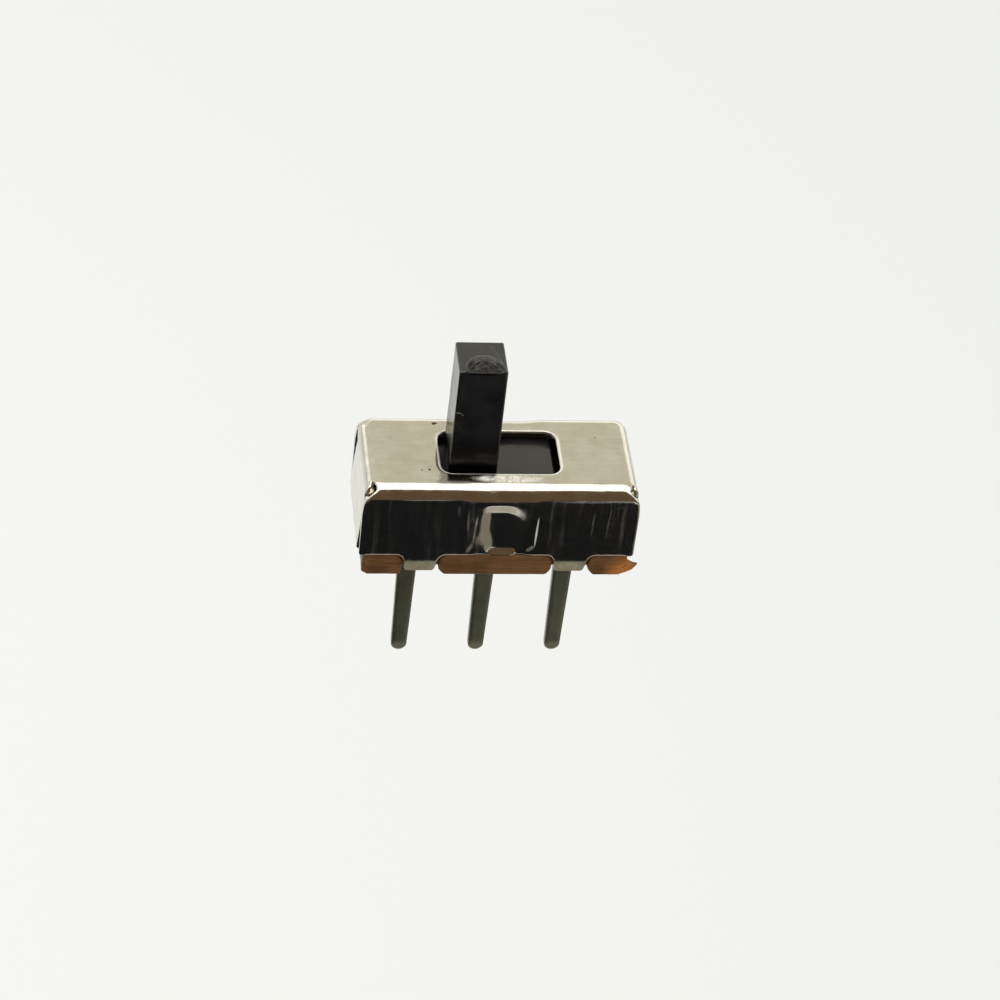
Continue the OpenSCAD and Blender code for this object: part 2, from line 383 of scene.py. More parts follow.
def press_depth(x, z, side):
    """How far a long wall lies inside its plane; side is -1 on the front and 1 on the back.

    The hollow's left slope has a shallow step and then a steep one, which eases toward the wall's
    lower edge. The top slope lengthens toward the right. At the bottom the hollow closes over a
    short slope in its middle, and on both sides it stays half open.
    """
    x = -side * x
    above = z - PRESS_LOW
    easing = smooth((1.9 - z) / 0.9)
    shallow, steep = 0.3, 0.7
    steep_start = PRESS_LEFT + 0.42 - 0.25 * easing
    left = shallow * smooth((x - PRESS_LEFT) / 0.45)
    left += steep * smooth((x - steep_start) / (0.36 + 0.6 * easing))
    right = smooth((PRESS_RIGHT - x) / 0.42)
    top_slope = 0.5 + 0.7 * smooth((x - 0.1) / 0.9)
    up = smooth((PRESS_HIGH - z) / top_slope)
    open_end = 0.5 + 0.5 * smooth(above / 0.9)
    closed_end = smooth(above / 0.25)
    down = closed_end + (open_end - closed_end) * smooth((abs(x - 0.13) - 0.34) / 0.16)
    return PRESS_D * left * right * up * down + corner_dimples(x, above)


def corner_dimples(x, above):
    """Two small dimples that the press left near the hollow's lower corners."""
    left, right = bell((x + 0.86) / 0.13), bell((x - 0.98) / 0.13)
    return 0.015 * bell((above - 0.24) / 0.15) * (left + right)


def drawn_in(x):
    """How much the pressing of the hollow pulled on the sheet above it, from 0 to 1."""
    return smooth((1.45 - abs(x - 0.1)) / 0.7)


def fold_profile(past, half, lean, under):
    """Place, as (out, up), at length past beyond the start of a fold, or on the wall below it.

    lean is how far the wall stops short of upright.
    """
    turn = min(math.pi / 2 - lean, past / FOLD_R)
    along = past - FOLD_R * turn
    out = half - FOLD_R + (FOLD_R - under) * math.sin(turn) + along * math.cos(turn)
    up = TOP - FOLD_R + (FOLD_R - under) * math.cos(turn) - along * math.sin(turn)
    return out, up


def claw_profile(past, under):
    """Place, as (out, up), at length past beyond a claw's bend line, bent inward."""
    outer = CLAW_BEND_R + SHEET_T
    turn = min(CLAW_BEND, past / outer)
    along = past - outer * turn
    out = HALF_W - outer + (outer - under) * math.cos(turn) - along * math.sin(turn)
    up = CLAW_BEND_Z - (outer - under) * math.sin(turn) - along * math.cos(turn)
    return out, up


def fold_drop(past):
    """How far the sheet drops, and how much it draws in, at length past into a fold."""
    angle = min(math.pi / 2, max(0.0, past) / FOLD_R)
    return FOLD_R * (1 - math.cos(angle)), FOLD_R * (angle - math.sin(angle))


def bend_blank(u, v, under):
    """The place in space of a point of the blank, under the outer surface by under."""
    past_u, past_v = abs(u) - FOLD_X, abs(v) - FOLD_Y
    if past_u > TINY and abs(v) < END_HALF + 0.01:
        return on_end_wall(u, v, past_u, past_v, under)
    if past_v > 0:
        return on_long_wall(u, v, past_u, past_v, under)
    dent = DENT * smooth((abs(v) - DENT_START) / (FOLD_Y - DENT_START))
    crease = 0.006 * smooth((abs(v) - 1.0) / 0.15) * smooth(-past_v / 0.1) * wave(u, v, 0.0, 5.0)
    return u, v, TOP - drawn_in(u) * (dent + crease) - under


def on_end_wall(u, v, past_u, past_v, under):
    """An end wall and its fold: slightly sunken and wavy, and rounded off where the folds meet."""
    lean = END_LEAN if u < 0 else 0.0
    out, up = fold_profile(past_u, HALF_L, lean, under)
    out -= END_SINK * (1 + wave(v, up, 0.0, 1.1, 4.0)) * smooth((past_u - 0.6) / 0.6)
    drop, draw = fold_drop(past_v)
    near = 1 - smooth((past_u - 0.28) / 0.35)
    return math.copysign(out, u), math.copysign(abs(v) - draw * near, v), up - drop * near


def on_long_wall(u, v, past_u, past_v, under):
    """A long wall, its fold and its claws, with the hollow and the pull that it has on the fold."""
    past_bend = abs(v) - (EDGE_V + BOARD_T - CLAW_BEND_Z)
    if past_bend > 0:
        out, up = claw_profile(past_bend, under)
    else:
        out, up = fold_profile(past_v, HALF_W, 0.0, under)
        out -= press_depth(u, up, math.copysign(1, v))
        out -= PULL * drawn_in(u) * smooth((up - PRESS_HIGH + 0.05) / 0.4) * smooth(past_v / 0.22)
    up -= DENT * drawn_in(u) * (1 - smooth((past_v - 0.3) / 0.6))
    drop, draw = fold_drop(past_u)
    near = 1 - smooth((past_v - 0.3) / 0.2)
    flare = WALL_FLARE * smooth((abs(u) - 3.4) / 0.9) * smooth((past_v - 0.45) / 0.9)
    return math.copysign(abs(u) - draw * near + flare, u), math.copysign(out, v), up - drop * near


def window_rim(v, d):
    """How far the window's sunken rim has dropped at distance d from its edge; narrow at the back."""
    width, drop = WINDOW_ROLL
    narrow = 1 + 1.8 * smooth((v - 0.4) / 0.5)      # 2.8 times as narrow and shallow at the back
    share = 1.0 if d is None else min(1.0, d * narrow / width)
    return drop / narrow * (1 - math.sqrt(1 - (1 - share) ** 2))


def build_cover(material):
    outline = refine(blank_outline(), step=0.1)
    window = refine(rounded_rectangle(*WINDOW), step=0.1)
    rings = [EDGE_ROLL * k for k in (0.08, 0.25, 0.5, 1.0)]
    rim_rings = [WINDOW_ROLL[0] * k for k in (0.03, 0.1, 0.22, 0.4, 0.65, 1.0)]

    def place(u, v, d, t):
        at_window = abs(u) < WINDOW[0] / 2 + 0.3 and abs(v) < WINDOW[1] / 2 + 0.3
        at_wall_end = abs(u) > WALL_END - 0.2 and abs(v) > FOLD_Y + 0.8
        drop = window_rim(v, d) if at_window else roll(d, WALL_ROLL if at_wall_end else EDGE_ROLL)
        return bend_blank(u, v, SHEET_T - roll(d, BACK_ROLL) if t else drop)

    points, faces = slab(outline, [window], rings, grid=0.075, rows=0, place=place,
                         hole_rings=rim_rings)
    make_mesh("folded_cover", points, faces, "case", material, "cover")


# ---------------------------------------------------------------- the base board

def board_outline():
    """The board in plan, with its cut corners and the four notches for the claws."""
    left, right = BOARD_LOW.x, BOARD_END
    front, back = BOARD_LOW.y, BOARD_HIGH.y
    small, large = BOARD_CUTS

    def notch(x, edge, way):
        """The notch's points in the order that the outline meets them."""
        inward = -math.copysign(NOTCH_DEPTH, edge)
        turn = 0.04
        side = [(NOTCH_MOUTH + turn, 0.0), (NOTCH_MOUTH, 0.12), (NOTCH_FLOOR + 0.01, 0.8),
                (NOTCH_FLOOR - turn, 1.0)]
        points = [(x - way * across, edge + share * inward) for across, share in side]
        return points + [(x + way * across, edge + share * inward) for across, share in reversed(side)]

    points = [(left, front + small), (left + small, front)]
    points += notch(-CLAW_X, front, 1) + notch(CLAW_X, front, 1)
    points += [(right - large, front), (right, front + large), (right, back - large),
               (right - large, back)]
    points += notch(CLAW_X, back, -1) + notch(-CLAW_X, back, -1)
    return points + [(left + small, back), (left, back - small)]


def pin_slot(x):
    """A terminal's slot in the board, clockwise."""
    half_w, half_t = PIN_HALF + SLOT_GAP, PIN_T / 2 + SLOT_GAP
    return [(x - half_w, -half_t), (x - half_w, half_t), (x + half_w, half_t), (x + half_w, -half_t)]


def claw_room(x, z):
    """How much wider than its waist a claw's notch is at height z.

    It widens upward in a quarter circle, as the claw's fillet does, and downward where the punch
    tore the lowest layer away, least of all at the board's left end.
    """
    arch_r = 0.30
    arch = arch_r * (1 - math.sqrt(max(0.0, 1 - max(0.0, (z - 0.5) / arch_r) ** 2)))
    torn = 0.03 if x < -CLAW_X else 0.20
    return arch + torn * max(0.0, 1 - z / 0.28) ** 2


def torn_edge(x, y, z, seeds):
    """Coarse and fine tears, drawn out along the board's layers."""
    coarse, fine = seeds
    return 0.020 * wave(x, y, 3.2 * z, 2.2, coarse) + 0.010 * wave(x, y, 4.0 * z, 6.0, fine)


def punched(x, y, z, d):
    """A point near the board's edge, moved by the rough tear of the punch."""
    reach = 0.0 if d is None else 1 - smooth(d / 0.12)
    across = torn_edge(x, y, z, (0.0, 9.0))
    along = torn_edge(x, y, z, (31.0, 17.0))
    room_end = 0.6
    for centre in (-CLAW_X, CLAW_X):
        gap = abs(x - centre) - NOTCH_FLOOR
        if -0.08 < gap < room_end and abs(y) > HALF_W - NOTCH_DEPTH - 0.1:
            x += math.copysign(claw_room(x, z) * (1 - smooth(gap / room_end)), x - centre)
    clear = 0.012
    at_end = smooth((abs(x) - 3.7) / 0.3)
    at_side = smooth((abs(y) - HALF_W + 0.15) / 0.1)
    inward = (clear + 0.5 * abs(across)) * at_side
    return (x + reach * (along - math.copysign(clear * at_end, x)),
            y - reach * math.copysign(inward, y), z)


def build_board(material):
    edge = BOARD_EDGE
    slots = [pin_slot(x) for x in PIN_PLACES]
    rings = [edge * k for k in (0.2, 0.5, 1.0, 2.0)]

    def place(x, y, d, t):
        z = BOARD_T - edge - (BOARD_T - 2 * edge) * t
        if t in (0, 1):
            z = roll(d, edge) if t else BOARD_T - roll(d, edge)
        at_slots = abs(x) < PIN_PLACES[2] + 0.4 and abs(y) < 0.3
        return (x, y, z) if at_slots else punched(x, y, z, d)

    board = slab(refine(board_outline(), step=0.07), slots, rings, grid=0.16, rows=9, place=place)
    points, faces = together(board, hook())
    make_mesh("punched_board", points, faces, "case", material, "base_board")


def hook():
    """The thorn of the lowest layer that the punch left at the board's right end."""
    tip_x, root_x, root_y = BOARD_HIGH.x, BOARD_END, BOARD_LOW.y
    edge, root_t = 0.03, 0.24
    outline = [(root_x - 0.32, root_y + 0.03), (root_x - 0.05, root_y + 0.13),
               (root_x + 0.20, root_y + 0.27), (tip_x - 0.03, root_y + 0.43),
               (tip_x, root_y + 0.49), (tip_x - 0.14, root_y + 0.50),
               (root_x + 0.05, root_y + 0.58), (root_x - 0.30, root_y + 0.62)]

    def place(x, y, d, t):
        along = smooth((x - root_x + 0.1) / (tip_x - root_x + 0.1))
        rounded = {0.0: -roll(d, edge), 1.0: roll(d, edge)}.get(t, 0.0)
        z = root_t * (1 - 0.6 * along) * (1 - t) + rounded
        curled = 0.03 * along ** 2
        return x, y, z + curled + 0.012 * wave(x, y, z, 5.0)

    return slab(refine(outline, step=0.04), [], [edge / 3, edge], grid=0.06, rows=2, place=place)


# ---------------------------------------------------------------- the terminals

def terminal_outline():
    """A terminal seen from the front: pin, rounded tip and contact blade."""
    tip = PIN_LOW + PIN_TIP_HALF
    corner = BLADE_HALF - BLADE_CORNER
    points = arc(0, tip, PIN_TIP_HALF, 180, 360, 12)
    points += [(PIN_HALF, 0.0), (PIN_HALF, BOARD_T), (BLADE_HALF, BOARD_T)]
    points += arc(corner, BLADE_TOP - BLADE_CORNER, BLADE_CORNER, 0, 90, 6)
    points += arc(-corner, BLADE_TOP - BLADE_CORNER, BLADE_CORNER, 90, 180, 6)
    return points + [(-BLADE_HALF, BOARD_T), (-PIN_HALF, BOARD_T), (-PIN_HALF, 0.0)]


def build_terminal(name, node, centre, material):
    """A terminal, rounder on its front edges, with a slightly bent pin that thins at its tip."""
    front_edge, back_edge = 0.07, 0.03

    def place(x, z, d, t):
        if t == 0:
            y = roll(d, front_edge) - PIN_T / 2
        elif t == 1:
            y = PIN_T / 2 - roll(d, back_edge)
        else:
            y = front_edge - PIN_T / 2 + (PIN_T - front_edge - back_edge) * t
        below = smooth(-z / 1.5)
        y += 0.012 * below * wave(centre, 0.0, z, 0.5, 3.0)
        thin = 1 - 0.25 * smooth((PIN_LOW + 0.45 - z) / 0.45)
        return centre + x + 0.008 * below * wave(centre, 5.0, z, 0.6), y * thin, z

    rings = [0.008, 0.022, 0.045, front_edge]
    outline = refine(terminal_outline(), step=0.09)
    points, faces = slab(outline, [], rings, grid=0.1, rows=2, place=place)
    make_mesh(name, points, faces, "case", material, node)


# ---------------------------------------------------------------- the slider and its spring clip

def gate_mark(x, y):
    """Height of the torn gate on the handle's top, at a place from the handle's middle.

    It is a sunken half oval at the front edge with folds in it, a raised lip round it, and a
    crease behind it on the right.
    """
    oval = ((x - GATE_X) / 0.57) ** 2 + ((y + HANDLE_HALF) / 0.72) ** 2
    folds = math.sin(9.0 * x - 5.0 * y + 2.5 * wave(x, y, 0.0, 2.5))
    rough = 0.022 * folds + 0.05 * wave(x, y, 0.0, 4.0, 2.0) + 0.015 * wave(x, y, 1.0, 13.0)
    torn = smooth((1 - oval) / 0.25) * (rough - 0.05)
    lip = 0.025 * bell((oval - 1.1) / 0.14)
    across = 0.88 * (x - 0.31) + 0.28 * (y - 0.49)
    crease = 0.02 * bell(across / 0.035) * smooth((y + 0.45) / 0.2) * smooth((0.6 - y) / 0.2)
    return torn + lip + crease + 0.004 * wave(x, y, 3.0, 3.0)


def handle():
    """The handle down into the block: tapered, with its sides sunken and uneven from moulding."""
    half = HANDLE_HALF - HANDLE_DRAFT * (HANDLE_TOP - TOP)
    height = HANDLE_TOP - HANDLE_EDGE - (BLOCK_TOP - 0.1)
    outline = rounded_rectangle(2 * half, 2 * half, 0.065, 5)[::-1]

    def place(x, y, d, t):
        if t == 0:
            marked = 1.0 if d is None else smooth(d / 0.05)
            return SLIDER_X + x, y, HANDLE_TOP - roll(d, HANDLE_EDGE) + marked * gate_mark(x, y)
        z = HANDLE_TOP - HANDLE_EDGE - height * t
        wide = 1 + HANDLE_DRAFT * (HANDLE_TOP - z) / half
        x, y = x * wide, y * wide
        sink = HANDLE_SINK * smooth((HANDLE_TOP - z) / 0.8)
        hollow_x = sink * (1 - (y / HANDLE_HALF) ** 2) * smooth((abs(x) - 0.5) / 0.2)
        hollow_y = sink * (1 - (x / HANDLE_HALF) ** 2) * smooth((abs(y) - 0.5) / 0.2)
        x -= math.copysign(hollow_x - 0.006 * wave(y, z, 0.0, 1.3), x)
        y -= math.copysign(hollow_y - 0.006 * wave(x, z, 7.0, 1.3), y)
        return SLIDER_X + x, y, z

    rings = [0.006, 0.018, 0.035, HANDLE_EDGE]
    return slab(refine(outline, step=0.04), [], rings, grid=0.035, rows=40, place=place)


def block_profile(channel, inset):
    """The block's section across the travel, as (y, z), anticlockwise seen from +X.

    channel is the half width of the channel under it, and inset draws the whole section in.
    """
    half, low = SLIDER_HIGH.y, SLIDER_LOW.z
    corner = 0.08
    loop = [(-half, low), (-channel, low), (-channel, CHANNEL_TOP), (channel, CHANNEL_TOP),
            (channel, low), (half, low)]
    loop += arc(half - corner, BLOCK_TOP - corner, corner, 0, 90, 5)
    loop += arc(corner - half, BLOCK_TOP - corner, corner, 90, 180, 5)
    return offset(loop, inset) if inset else loop


def block():
    """The block, lofted along the travel: rounded ends, and a channel that is wider in its middle."""
    end = (SLIDER_HIGH.x - SLIDER_LOW.x) / 2
    edge = 0.07
    stations = [(x - end, CHANNEL_HALF, inset) for inset, x in arc(edge, edge, edge, 270, 180, 3)]
    stations += [(-POCKET_END, CHANNEL_HALF, 0.0), (-POCKET_END + 0.01, POCKET_HALF, 0.0)]
    stations += [(-x, channel, inset) for x, channel, inset in reversed(stations)]
    return loft([[(SLIDER_X + x, y, z) for y, z in block_profile(channel, inset)]
                 for x, channel, inset in stations])


def build_slider(material):
    points, faces = together(handle(), block())
    make_mesh("moulded_slider", points, faces, "slide", material, "slider")


def build_clip(material):
    """The spring: a channel of thin sheet with four pressed ridges along its legs."""
    outer, inner, foot, top = CLIP_HIGH.y, CLIP_HIGH.y - CLIP_T, CLIP_LOW.z, CLIP_HIGH.z
    half = (CLIP_HIGH.x - CLIP_LOW.x) / 2
    r = 0.2

    def section(x):
        """The clip's section as (y, z): back and legs outside, then the inner side and its ridges."""
        ridge = RIDGE_H * bell((abs(x) - RIDGE_X) / 0.07)
        legs = [(outer, foot + 0.03), (outer - 0.03, foot), (inner + 0.02, foot)]
        inner_side = [(inner - 0.08, top - CLIP_T), (inner - ridge, top - r - 0.1),
                      (inner - ridge, foot + 0.08)]
        loop = arc(outer - r, top - r, r, 0, 90, 5)
        loop += [(-y, z) for y, z in reversed(loop)]
        loop += [(-y, z) for y, z in [*legs, *reversed(inner_side)]]
        return loop + inner_side + legs[::-1]

    steps = 68
    places = [-half + 2 * half * i / steps for i in range(steps + 1)]
    points, faces = loft([[(SLIDER_X + x, y, z) for y, z in section(x)] for x in places])
    make_mesh("spring_clip", points, faces, "slide", material, "contact_clip")


# ---------------------------------------------------------------- materials

# Dark specks on the cover's top: place and radius
SPECKS = [((-1.93, 1.31, TOP), 0.075), ((-1.86, 1.33, TOP), 0.05), ((-2.23, -0.88, TOP), 0.05),
          ((-2.47, -0.90, TOP), 0.035), ((0.9, -1.15, TOP), 0.025), ((3.1, 0.7, TOP), 0.03)]
# Painted highlights: pale lines and patches on the front wall along the hollow's slopes and corners,
# the fold and the right end; two ends as (x, z), width and strength
HIGHLIGHT_STROKES = [((1.17, 2.50), (1.145, 1.10), 0.07, 0.75), ((1.16, 1.25), (0.90, 0.95), 0.16, 0.22),
        ((-0.73, 2.52), (-0.79, 1.25), 0.07, 0.3), ((-1.03, 2.70), (-0.98, 1.70), 0.08, 0.13),
        ((-0.78, 1.35), (-0.95, 0.92), 0.16, 0.2), ((-3.25, 3.08), (-1.35, 3.09), 0.05, 0.22),
        ((1.75, 3.04), (3.35, 3.03), 0.05, 0.2), ((-1.35, 2.9), (-1.30, 2.4), 0.12, 0.06),
        ((2.9, 2.7), (2.86, 1.6), 0.07, 0.07), ((3.4, 2.9), (3.33, 1.5), 0.06, 0.06)]
# A painted highlight: a pale, ragged patch between the window and the front fold, widening the
# fold's bright band; two ends as (x, y), and width
PAINTED_BRIGHT_PATCH = ((-1.05, -1.25), (1.35, -1.27), 0.36)
# A short curved scratch across the left of the handle's front, as touching spots
SCRATCH = [((SLIDER_X - 0.74 + 0.05 * i, -HANDLE_HALF, 5.66 - 0.012 * (i - 2) ** 2), 0.035)
           for i in range(6)]
# A pale grain on the block, beside the handle
GRAIN = ((-0.02, -0.17, BLOCK_TOP), 0.03)
# Half the length and width of the field where the sheet is seen edge on in the window, where
# the cut faces are painted dark as a painted reflection of the dark block
SHADED_CUT_FIELD = (1.95, 1.08)
# The torn right end of the board, where a golden highlight is painted into the colour
GOLDEN_HIGHLIGHT_END = ((HALF_L - 0.15, BOARD_LOW.y + 0.1, 0.2), 0.75)


class Nodes:
    """A material's node tree, with short ways to add and join nodes."""

    def __init__(self, name):
        self.material = bpy.data.materials.new(name)
        self.material.use_nodes = True
        self.tree = self.material.node_tree
        self.shader = next(n for n in self.tree.nodes if n.type == "BSDF_PRINCIPLED")

    def add(self, kind, **settings):
        node = self.tree.nodes.new(kind)
        for key, value in settings.items():
            setattr(node, key, value)
        return node

    def link(self, output, socket):
        self.tree.links.new(output, socket)

    def feed(self, value, socket):
        """Puts a node's output or a plain value into a socket."""
        if isinstance(value, bpy.types.NodeSocket):
            self.link(value, socket)
        else:
            socket.default_value = value

    def finish(self, **sockets):
        """Feeds the shader's sockets, named with _ for a space, and returns the material."""
        for name, value in sockets.items():
            self.feed(value, self.shader.inputs[name.replace("_", " ")])
        return self.material

    def place(self, stretch=(1, 1, 1)):
        """Coordinates in millimetres; a larger stretch makes whatever is drawn on them finer."""
        where = self.add("ShaderNodeTexCoord")
        mapping = self.add("ShaderNodeMapping")
        mapping.inputs["Scale"].default_value = [s / MM for s in stretch]
        self.link(where.outputs["Object"], mapping.inputs["Vector"])
        return mapping.outputs["Vector"]

    def noise(self, where, scale, detail, rough):
        """Cloudy noise from 0 to 1; a larger scale makes finer clouds."""
        node = self.add("ShaderNodeTexNoise")
        node.inputs["Scale"].default_value = scale
        node.inputs["Detail"].default_value = detail
        node.inputs["Roughness"].default_value = rough
        self.link(where, node.inputs["Vector"])
        return node.outputs["Fac"]

    def axes(self, where):
        """The three coordinates, apart."""
        split = self.add("ShaderNodeSeparateXYZ")
        self.link(where, split.inputs["Vector"])
        return [split.outputs[axis] for axis in "XYZ"]

    def maths(self, operation, *values):
        node = self.add("ShaderNodeMath", operation=operation)
        for value, socket in zip(values, node.inputs):
            self.feed(value, socket)
        return node.outputs["Value"]

    def times(self, a, b):
        return self.maths("MULTIPLY", a, b)

    def squared(self, value, half):
        """The square of a value's share of half."""
        return self.maths("POWER", self.maths("ABSOLUTE", self.maths("DIVIDE", value, half)), 2.0)

    def stroke(self, x, y, start, end, width):
        """1 in a long oval from start to end, each a place in x and y, fading to 0 at its edges."""
        length = math.hypot(end[0] - start[0], end[1] - start[1])
        cos, sin = (end[0] - start[0]) / length, (end[1] - start[1]) / length
        dx = self.maths("SUBTRACT", x, (start[0] + end[0]) / 2)
        dy = self.maths("SUBTRACT", y, (start[1] + end[1]) / 2)
        along = self.maths("ADD", self.times(dx, cos), self.times(dy, sin))
        across = self.maths("SUBTRACT", self.times(dx, sin), self.times(dy, cos))
        oval = self.maths("ADD", self.squared(along, length / 2), self.squared(across, width / 2))
        return self.spread(oval, 0.4, 1.0, 1.0, 0.0)

    def spot(self, where, place, size, soft=0.4):
        """1 within size of a place in millimetres, fading to 0 over the soft share of size."""
        away = self.add("ShaderNodeVectorMath", operation="DISTANCE")
        self.link(where, away.inputs[0])
        away.inputs[1].default_value = place
        return self.spread(away.outputs["Value"], size * (1 - soft), size, 1.0, 0.0)

    def off_window(self, x, y):
        """Distance outward from the window's edge, in millimetres."""
        length, width, r = WINDOW
        sides = []
        for value, half in ((x, length / 2), (y, width / 2)):
            past = self.maths("SUBTRACT", self.maths("ABSOLUTE", value), half - r)
            sides.append(self.maths("POWER", self.maths("MAXIMUM", past, 0.0), 2.0))
        return self.maths("SUBTRACT", self.maths("SQRT", self.maths("ADD", *sides)), r)

    def within(self, value, half, soft, share=1.0):
        """share where a value lies less than half from 0, fading to 0 over soft."""
        return self.spread(self.maths("ABSOLUTE", value), half, half + soft, share, 0.0)

    def ramp(self, value, *stops):
        """A colour by value, from stops of a value and a colour."""
        node = self.add("ShaderNodeValToRGB")
        while len(node.color_ramp.elements) < len(stops):
            node.color_ramp.elements.new(0.5)
        for element, (at, colour) in zip(node.color_ramp.elements, stops):
            element.position = at
            element.color = (*colour, 1)
        self.link(value, node.inputs["Fac"])
        return node.outputs["Color"]

    def spread(self, value, low, high, out_low, out_high):
        """The value, brought from the range low to high into another range and held there."""
        node = self.add("ShaderNodeMapRange")
        for key, x in zip(("From Min", "From Max", "To Min", "To Max"), (low, high, out_low, out_high)):
            node.inputs[key].default_value = x
        self.link(value, node.inputs["Value"])
        return node.outputs["Result"]

    def bump(self, height, distance_mm, below=None):
        """A bumpy normal, on top of the one below."""
        node = self.add("ShaderNodeBump")
        node.inputs["Strength"].default_value = 1.0
        node.inputs["Distance"].default_value = distance_mm * MM
        self.link(height, node.inputs["Height"])
        if below is not None:
            self.link(below, node.inputs["Normal"])
        return node.outputs["Normal"]

    def mix(self, factor, a, b, blend="MIX"):
        """Colour a with a share of colour b."""
        node = self.add("ShaderNodeMix", data_type="RGBA", blend_type=blend)
        inputs = {s.identifier: s for s in node.inputs}
        for key, value in (("Factor_Float", factor), ("A_Color", a), ("B_Color", b)):
            self.feed(value, inputs[key])
        return next(s for s in node.outputs if s.identifier == "Result_Color")


def nickel_plate():
    """Bright plate with mottling and fine streaks, scuffed dull where the claws were bent.

    Pale matt painted highlights lie on the front wall, before the front fold and round the window.
    """
    m = Nodes("nickel_plate")
    where = m.place()
    along = m.place((0.12, 1.0, 1.0))
    upright = m.place((5.0, 5.0, 0.35))
    axes = m.axes(where)
    on_claws = m.times(m.spread(axes[2], CLAW_BEND_Z + 0.06, CLAW_BEND_Z - 0.06, 0.0, 1.0),
                       m.spread(axes[2], 0.02, 0.06, 0.0, 1.0))
    painted_highlight = painted_highlight_share(m, where, axes)
    colour = plate_colour(m, where, along, axes, on_claws)
    haze = m.spread(m.noise(along, 9.0, 4, 0.6), 0.3, 0.75, 0.09, 0.14)
    streaks = m.spread(m.noise(upright, 1.0, 5, 0.65), 0.5, 0.72, 0.0, 0.14)
    scuffs = m.spread(on_claws, 0.0, 1.0, 0.0, 0.2)
    waves = m.bump(m.noise(where, 0.8, 2, 0.4), 0.02)
    peel = m.bump(m.noise(where, 7.0, 3, 0.6), 0.0020, below=waves)
    grain = m.bump(m.noise(along, 22.0, 3, 0.6), 0.0006, below=peel)
    # The painted highlights make the plate pale and matt, so that it shows bright
    return m.finish(Base_Color=m.mix(painted_highlight, colour, (0.86, 0.83, 0.74, 1)),
                    Metallic=m.maths("SUBTRACT", 1.0, painted_highlight),
                    Roughness=m.maths("ADD", m.maths("ADD", haze, streaks), scuffs),
                    Normal=grain)


def plate_colour(m, where, along, axes, on_claws):
    """Mottled, brushed plate, olive where it is scuffed, with specks, and with the window's cut faces
    painted dark as a painted reflection of the dark block.
    """
    x, y, z = axes
    clouds = m.noise(where, 1.6, 5, 0.6)
    plate = m.ramp(clouds, (0.3, (0.60, 0.57, 0.485)), (0.7, (0.72, 0.695, 0.62)))
    brushed = m.ramp(m.noise(along, 15.0, 3, 0.6), (0.3, (0.92, 0.92, 0.92)), (0.7, (1.0, 1.0, 1.0)))
    plate = m.mix(1.0, plate, brushed, "MULTIPLY")
    scuffed = m.ramp(m.noise(where, 3.0, 4, 0.6), (0.3, (0.31, 0.28, 0.19)), (0.75, (0.5, 0.47, 0.36)))
    colour = m.mix(on_claws, plate, scuffed)
    # Painted reflection: the window's cut faces are painted near black, as if they mirrored the dark
    # block
    in_window = m.times(m.within(x, SHADED_CUT_FIELD[0], 0.02), m.within(y, SHADED_CUT_FIELD[1], 0.02))
    cut = m.times(in_window, m.spread(z, TOP - 0.08, TOP - 0.12, 0.0, 1.0))
    colour = m.mix(cut, colour, (0.07, 0.045, 0.03, 1))
    for place, size in SPECKS:
        colour = m.mix(m.spot(where, place, size), colour, (0.06, 0.05, 0.035, 1))
    return colour


def painted_highlight_share(m, where, axes):
    """How pale and matt the plate is, as painted highlights: pale lines along the front wall's hollow,
    its corners and fold, a ragged patch before the front fold, and a line round the window's edge.
    """
    x, y, z = axes
    painted_highlight = 0.0
    # Painted highlights on the front wall, stroke by stroke
    for start, end, width, share in HIGHLIGHT_STROKES:
        painted_highlight = m.maths("MAXIMUM", painted_highlight, m.times(m.stroke(x, z, start, end, width), share))
    painted_highlight = m.times(painted_highlight, m.spread(y, -HALF_W + 0.3, -HALF_W + 0.2, 0.0, 1.0))
    # A painted highlight before the front fold, broken up by noise
    patch = m.times(m.stroke(x, y, *PAINTED_BRIGHT_PATCH), m.spread(z, TOP - 0.2, TOP - 0.1, 0.0, 1.0))
    patch = m.times(patch, m.spread(m.noise(where, 5.0, 3, 0.7), 0.38, 0.48, 0.2, 1.0))
    painted_highlight = m.maths("MAXIMUM", painted_highlight, patch)
    painted_highlight = m.times(painted_highlight, m.spread(m.noise(where, 6.0, 3, 0.6), 0.3, 0.6, 0.45, 1.0))
    # Painted highlight: a pale matt line round the window's edge, weaker at the back
    lip = m.times(m.spread(m.off_window(x, y), 0.065, 0.10, 0.85, 0.0),
                  m.spread(z, TOP - 0.11, TOP - 0.07, 0.0, 1.0))
    return m.maths("MAXIMUM", painted_highlight, m.times(lip, m.spread(y, 0.55, 0.9, 1.0, 0.25)))


def paper_laminate():
    """Brown resin-bonded paper: thin layers, cloudy, with a painted golden highlight at the torn right
    end.
    """
    m = Nodes("paper_laminate")
    where = m.place()
    fibre = m.noise(m.place((0.5, 0.5, 7.0)), 1.4, 4, 0.55)
    cloud = m.noise(where, 1.3, 4, 0.6)
    brown = m.ramp(fibre, (0.25, (0.08, 0.033, 0.008)), (0.5, (0.115, 0.054, 0.015)),
                   (0.8, (0.16, 0.082, 0.026)))
    warm = m.ramp(cloud, (0.3, (0.72, 0.72, 0.74)), (0.72, (1.35, 1.15, 0.95)))
    colour = m.mix(1.0, brown, warm, "MULTIPLY")
    # Painted highlight: the colour is brightened toward gold at the board's right end
    golden = m.mix(1.0, colour, (3.3, 2.7, 1.5, 1), "MULTIPLY")
    return m.finish(Base_Color=m.mix(m.spot(where, *GOLDEN_HIGHLIGHT_END, 0.9), colour, golden),
                    Roughness=m.spread(cloud, 0.3, 0.7, 0.3, 0.5),
                    Specular_IOR_Level=0.3,
                    Normal=m.bump(fibre, 0.012))


